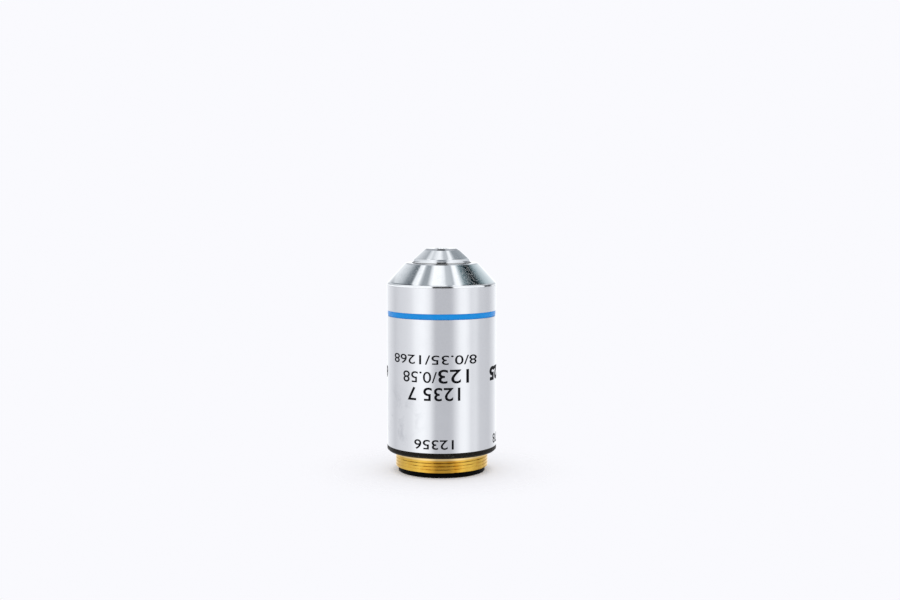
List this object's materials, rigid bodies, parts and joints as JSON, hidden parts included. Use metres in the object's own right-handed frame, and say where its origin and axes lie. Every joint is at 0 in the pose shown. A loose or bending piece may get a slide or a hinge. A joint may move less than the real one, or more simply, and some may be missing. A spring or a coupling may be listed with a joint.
{
  "type": "microscope objective",
  "caption": "Spring-loaded dry microscope objective: satin sleeve with a blue ring, polished cone, retracting nose and a brass fixing thread.",
  "frame": {"origin": "on the optical axis, in the plane of the mounting shoulder that bears on the nosepiece", "axes": "+Z along the optical axis towards the specimen, X and Y across it; the guide screw is on +Y"},
  "size_m": [0.024, 0.024, 0.0489],
  "materials": {
    "satin_chrome": "satin chrome with fine vertical streaks",
    "polished_chrome": "polished chrome, turned",
    "blue_enamel": "smooth enamel",
    "black_anodised": "black anodised, satin",
    "black_lacquer": "matt black lacquer",
    "thread_brass": "turned brass",
    "cell_brass": "machined brass",
    "blackened_brass": "blackened, matt",
    "spring_steel": "drawn steel wire",
    "screw_steel": "dark steel",
    "coated_glass": "polished glass with a thin blue coating",
    "flint_glass": "polished dense glass"
  },
  "bodies": {
    "housing": {"outer_sleeve": "satin_chrome", "magnification_ring": "blue_enamel", "front_cap": "polished_chrome", "body_tube": "black_anodised", "thread_mount": "thread_brass", "rear_ring": "black_lacquer", "rear_baffle": "blackened_brass", "spring_seat": "screw_steel", "buffer_spring": "spring_steel", "parfocal_ring": "cell_brass", "parfocal_lock_ring": "cell_brass", "guide_screw": "screw_steel"},
    "lens_group": {"lens_barrel": "blackened_brass", "centring_screws": "screw_steel", "nose_mount": "polished_chrome", "front_lens": "coated_glass", "front_lens_cell": "cell_brass", "meniscus_lens": "flint_glass", "meniscus_cell": "cell_brass", "nose_lock_ring": "cell_brass", "front_doublet_cell": "cell_brass", "front_crown_lens": "coated_glass", "front_flint_lens": "flint_glass", "middle_spacer": "blackened_brass", "middle_doublet_cell": "cell_brass", "middle_crown_lens": "coated_glass", "middle_flint_lens": "flint_glass", "aperture_disc": "blackened_brass", "rear_spacer": "blackened_brass", "rear_lens_cell": "cell_brass", "rear_crown_lens": "coated_glass", "rear_flint_lens": "flint_glass", "cell_retaining_ring": "blackened_brass"}
  },
  "joints": [
    {"name": "nose_retract", "type": "slide", "parent": "housing", "child": "lens_group", "axis": [0, 0, -1], "range_m": [0, 0.0022], "stiffness_N_per_m": 180, "springref_m": -0.012, "deforming": ["buffer_spring"]}
  ]
}
